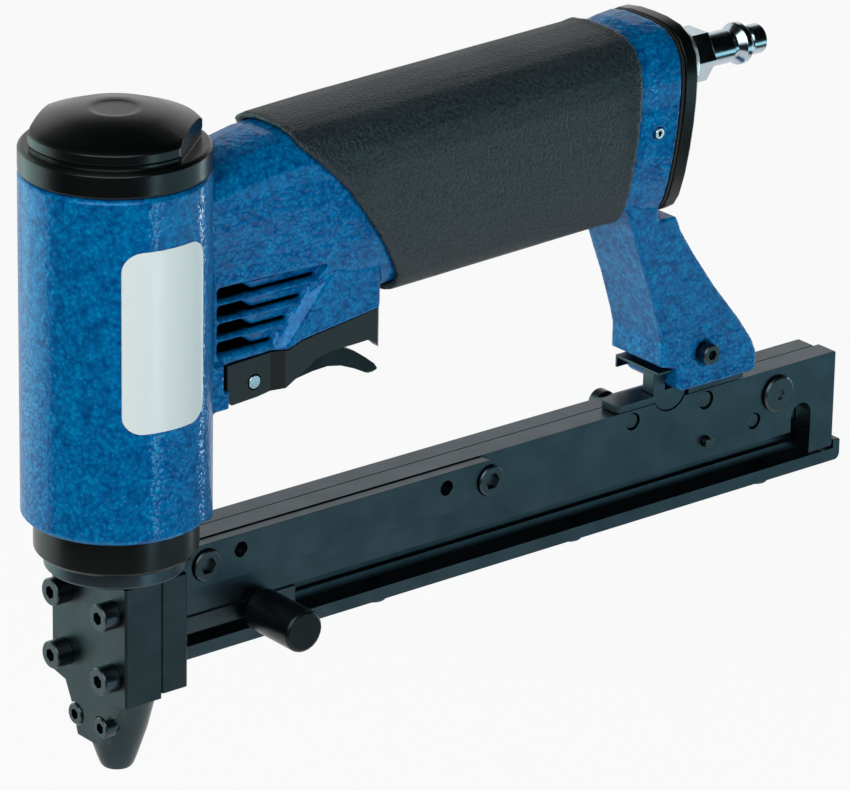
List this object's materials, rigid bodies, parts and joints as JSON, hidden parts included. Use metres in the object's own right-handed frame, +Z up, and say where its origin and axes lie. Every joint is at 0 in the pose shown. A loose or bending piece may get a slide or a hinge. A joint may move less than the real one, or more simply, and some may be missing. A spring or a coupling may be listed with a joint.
{
  "type": "pneumatic pin nailer",
  "caption": "Hand-held compressed-air pin nailer: upright cylinder head, rubber-sleeved handle, trigger lever, narrow nose and a straight magazine with sliding pusher.",
  "frame": {"origin": "centre of the pin exit at the nose tip's lower face", "axes": "+X rearwards from the nose along the magazine to the air inlet, +Y to the side away from the pusher knob, +Z up along the driver axis to the cylinder cap"},
  "size_m": [0.2564, 0.048, 0.1691],
  "materials": {
    "hammered_blue_enamel": "hammertone stove enamel on a light alloy casting",
    "black_coating": "satin black coating on turned alloy",
    "blued_steel": "blackened, ground steel",
    "black_screws": "black oxide",
    "bright_steel": "bright hardened steel",
    "black_knob": "satin black",
    "rubber_grip": "fine grained matt rubber",
    "inner_rubber": "smooth black rubber",
    "machined_aluminium": "turned",
    "zinc_plated_steel": "zinc plated",
    "black_trigger_plastic": "glass filled black plastic",
    "blackened_trigger_steel": "satin blackened steel casting",
    "valve_brass": "turned",
    "bare_label": "pale foil without print"
  },
  "bodies": {
    "tool_body": {"housing": "hammered_blue_enamel", "cylinder_cap": "black_coating", "cylinder_sleeve": "machined_aluminium", "bumper": "inner_rubber", "nose_collar": "black_coating", "nose_ring": "blued_steel", "nosepiece": "blued_steel", "nose_rear_block": "blued_steel", "nose_screw_1": "black_screws", "nose_screw_2": "black_screws", "nose_screw_3": "black_screws", "nose_screw_4": "black_screws", "tip_screw_1": "black_screws", "tip_screw_2": "black_screws", "magazine_near_plate": "blued_steel", "magazine_far_plate": "blued_steel", "magazine_rail": "blued_steel", "bracket_strip": "blued_steel", "bracket_screw_1": "black_screws", "bracket_screw_2": "black_screws", "rail_screw_1": "black_screws", "rail_screw_2": "black_screws", "rail_screw_3": "black_screws", "rear_pin": "black_screws", "upper_set_screw": "black_screws", "lower_stop_pin": "black_screws", "front_set_screw": "black_screws", "pivot_disc": "black_screws", "far_side_screw": "black_screws", "magazine_hanger": "blued_steel", "hanger_bar": "blued_steel", "hanger_post": "blued_steel", "leg_clip": "blued_steel", "foot_screw": "black_screws", "grip_sleeve": "rubber_grip", "end_cap_gasket": "inner_rubber", "handle_end_cap": "black_coating", "roll_pin": "bright_steel", "inlet_flange": "machined_aluminium", "air_nipple": "zinc_plated_steel", "trigger_housing": "black_trigger_plastic", "trigger_pin": "bright_steel", "trigger_valve_body": "valve_brass", "label_plate": "bare_label"},
    "piston_with_driver": {"piston": "machined_aluminium", "piston_seal": "inner_rubber", "driver_blade": "bright_steel"},
    "pusher_with_knob": {"pusher": "bright_steel", "pusher_knob": "black_knob", "feed_spring_roll": "bright_steel"},
    "trigger_lever": {"trigger": "blackened_trigger_steel"},
    "valve_stem": {"trigger_valve_stem": "bright_steel", "trigger_valve_spring": "bright_steel"},
    "main_valve": {"main_valve_disc": "inner_rubber"}
  },
  "joints": [
    {"name": "trigger_pull", "type": "hinge", "parent": "tool_body", "child": "trigger_lever", "pos_m": [0.0346, 0, 0.0948], "axis": [0, -1, 0], "range_deg": [0, 6], "stiffness_Nm_per_rad": 0.5, "springref_deg": -17.19},
    {"name": "valve_stem_lift", "type": "slide", "parent": "tool_body", "child": "valve_stem", "axis": [0, 0, 1], "range_m": [0, 0.00245], "deforming": ["trigger_valve_spring"]},
    {"name": "main_valve_lift", "type": "slide", "parent": "tool_body", "child": "main_valve", "axis": [0, 0, 1], "range_m": [0, 0.0022]},
    {"name": "piston_stroke", "type": "slide", "parent": "tool_body", "child": "piston_with_driver", "axis": [0, 0, -1], "range_m": [0, 0.0572]},
    {"name": "pusher_slide", "type": "slide", "parent": "tool_body", "child": "pusher_with_knob", "axis": [1, 0, 0], "range_m": [0, 0.171], "stiffness_N_per_m": 20, "springref_m": -0.2}
  ],
  "couplings": [
    {"joint": "trigger_pull", "follows": "valve_stem_lift", "rad_per_m": 42.7}
  ]
}
